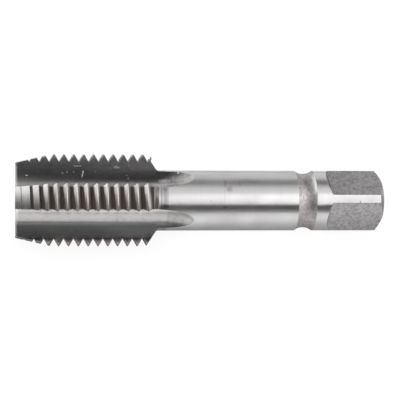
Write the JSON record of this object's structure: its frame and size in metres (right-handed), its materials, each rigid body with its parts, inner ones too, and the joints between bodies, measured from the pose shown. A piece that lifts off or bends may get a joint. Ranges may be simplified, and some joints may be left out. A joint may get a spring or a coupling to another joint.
{
  "type": "hand tap",
  "caption": "Straight-flute hand tap that cuts a coarse right-hand internal thread, with a plain shank, a neck groove and a square drive end.",
  "frame": {"origin": "centre of the tip face, on the axis of the tap", "axes": "+X along the axis from the cutting tip to the square drive, +Z and +Y normal to flats of the square, so that the lands stand at 45 degrees to both"},
  "size_m": [0.17, 0.0374, 0.0374],
  "materials": {
    "tool_steel": "ground shank and thread, blasted neck groove and flats"
  },
  "bodies": {
    "root": {"thread_tap": "tool_steel"}
  },
  "joints": []
}
